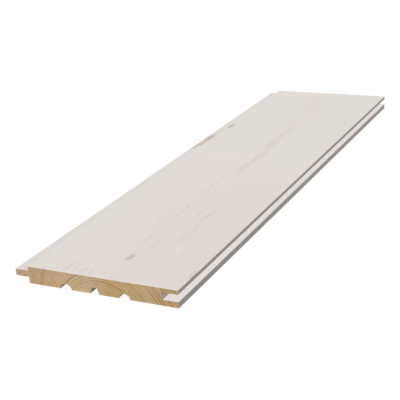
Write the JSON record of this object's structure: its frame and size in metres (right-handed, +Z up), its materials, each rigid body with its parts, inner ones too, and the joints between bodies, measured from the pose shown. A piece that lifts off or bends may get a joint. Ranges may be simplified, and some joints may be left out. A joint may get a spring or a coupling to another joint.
{
  "type": "tongue and groove board",
  "caption": "Planed softwood board with a tongue along one edge, a groove along the other, relief grooves along its back and a white stained face, for lining walls and ceilings.",
  "frame": {"origin": "under the middle of the board, at the level of its back", "axes": "+X across the board towards its groove, +Y along its length, +Z up through its face"},
  "size_m": [0.12, 0.44, 0.012],
  "materials": {
    "white_stained_softwood": "thin white stain on the face, tongue and groove, raw wood on the back and on the sawn ends"
  },
  "bodies": {
    "root": {"board": "white_stained_softwood"}
  },
  "joints": []
}
